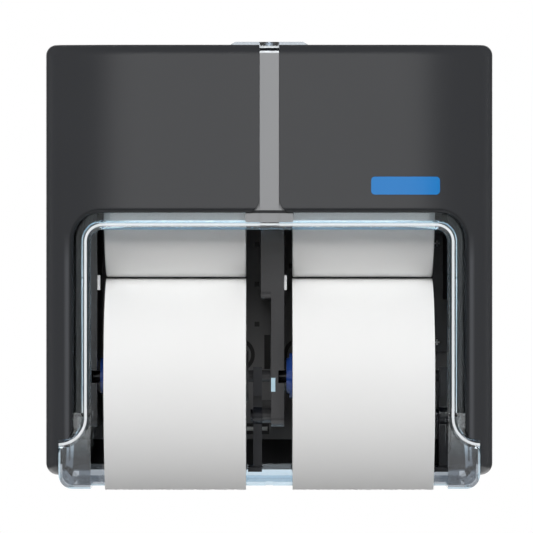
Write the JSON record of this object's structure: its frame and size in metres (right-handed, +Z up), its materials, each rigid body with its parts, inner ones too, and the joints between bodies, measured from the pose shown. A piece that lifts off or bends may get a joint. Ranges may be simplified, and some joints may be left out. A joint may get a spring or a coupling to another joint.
{
  "type": "twin toilet paper dispenser",
  "caption": "Wall-mounted toilet paper dispenser: dark split cover with a clear window frame and foot blocks, hinged at the bottom, locked on top, holding paired rolls on hubs and levers.",
  "frame": {"origin": "on the wall plane, at the centre of the four wall-screw holes in the back plate", "axes": "+X to the right seen from the front, +Y into the wall, +Z up; the front faces -Y"},
  "size_m": [0.3, 0.1566, 0.3062],
  "materials": {
    "shroud": "satin dark charcoal",
    "clear": "clear, faintly blue",
    "lever_smoke": "glossy dark navy",
    "catch_blue": "pale blue",
    "chassis": "fine-grained black",
    "hub_blue": "moulded blue",
    "paper": "soft white tissue",
    "cardboard": "spiral-wound grey card",
    "steel": "zinc-plated",
    "lock_metal": "polished",
    "badge": "plain blue label",
    "stop_white": "white",
    "vial": "silvery"
  },
  "bodies": {
    "chassis": {"back_plate": "chassis", "bottom_skirt": "chassis", "left_guide_wall": "chassis", "centre_divider": "chassis", "right_guide_wall": "chassis", "left_track_stop": "stop_white", "right_track_stop": "stop_white", "divider_catch": "catch_blue", "flange_screws": "steel", "level_vial": "vial", "strike_plate": "steel", "left_lever_pin": "steel", "right_lever_pin": "steel", "left_leaf_spring": "steel", "right_leaf_spring": "steel", "left_paper_tail": "paper", "right_paper_tail": "paper"},
    "cover": {"clear_cover": "clear", "left_shroud": "shroud", "right_shroud": "shroud", "shroud_screws": "steel", "badge": "badge", "lock_housing": "chassis", "left_hinge_pin": "steel", "right_hinge_pin": "steel"},
    "lock": {"lock_cylinder": "lock_metal", "lock_cam": "steel", "cam_screw": "steel"},
    "left_lever_body": {"left_lever": "lever_smoke"},
    "right_lever_body": {"right_lever": "lever_smoke"},
    "left_lower_roll_body": {"left_lower_roll": "paper", "left_lower_core": "cardboard", "left_lower_hub": "hub_blue", "left_lower_cap": "chassis"},
    "left_upper_roll_body": {"left_upper_roll": "paper", "left_upper_core": "cardboard", "left_upper_hub": "hub_blue", "left_upper_cap": "chassis"},
    "right_lower_roll_body": {"right_lower_roll": "paper", "right_lower_core": "cardboard", "right_lower_hub": "hub_blue", "right_lower_cap": "chassis"},
    "right_upper_roll_body": {"right_upper_roll": "paper", "right_upper_core": "cardboard", "right_upper_hub": "hub_blue", "right_upper_cap": "chassis"}
  },
  "joints": [
    {"name": "cover_open", "type": "hinge", "parent": "chassis", "child": "cover", "pos_m": [0, -0.024, -0.13], "axis": [1, 0, 0], "range_deg": [0, 90]},
    {"name": "lock_turn", "type": "hinge", "parent": "cover", "child": "lock", "pos_m": [0, -0.04, 0.14], "axis": [0, 0, 1], "range_deg": [0, 90]},
    {"name": "left_lower_spin", "type": "hinge", "parent": "chassis", "child": "left_lower_roll_body", "pos_m": [-0.0635, -0.075, -0.078], "axis": [1, 0, 0], "continuous": true},
    {"name": "left_upper_spin", "type": "hinge", "parent": "chassis", "child": "left_upper_roll_body", "pos_m": [-0.0635, -0.075, 0.0564], "axis": [1, 0, 0], "continuous": true},
    {"name": "left_lever_tilt", "type": "hinge", "parent": "chassis", "child": "left_lever_body", "pos_m": [-0.008, -0.075, -0.105], "axis": [1, 0, 0], "range_deg": [0, 25], "stiffness_Nm_per_rad": 0.05, "springref_deg": -5.73, "deforming": ["left_leaf_spring"]},
    {"name": "right_lower_spin", "type": "hinge", "parent": "chassis", "child": "right_lower_roll_body", "pos_m": [0.0635, -0.075, -0.078], "axis": [1, 0, 0], "continuous": true},
    {"name": "right_upper_spin", "type": "hinge", "parent": "chassis", "child": "right_upper_roll_body", "pos_m": [0.0635, -0.075, 0.0564], "axis": [1, 0, 0], "continuous": true},
    {"name": "right_lever_tilt", "type": "hinge", "parent": "chassis", "child": "right_lever_body", "pos_m": [0.119, -0.075, -0.105], "axis": [1, 0, 0], "range_deg": [0, 25], "stiffness_Nm_per_rad": 0.05, "springref_deg": -5.73, "deforming": ["right_leaf_spring"]}
  ]
}
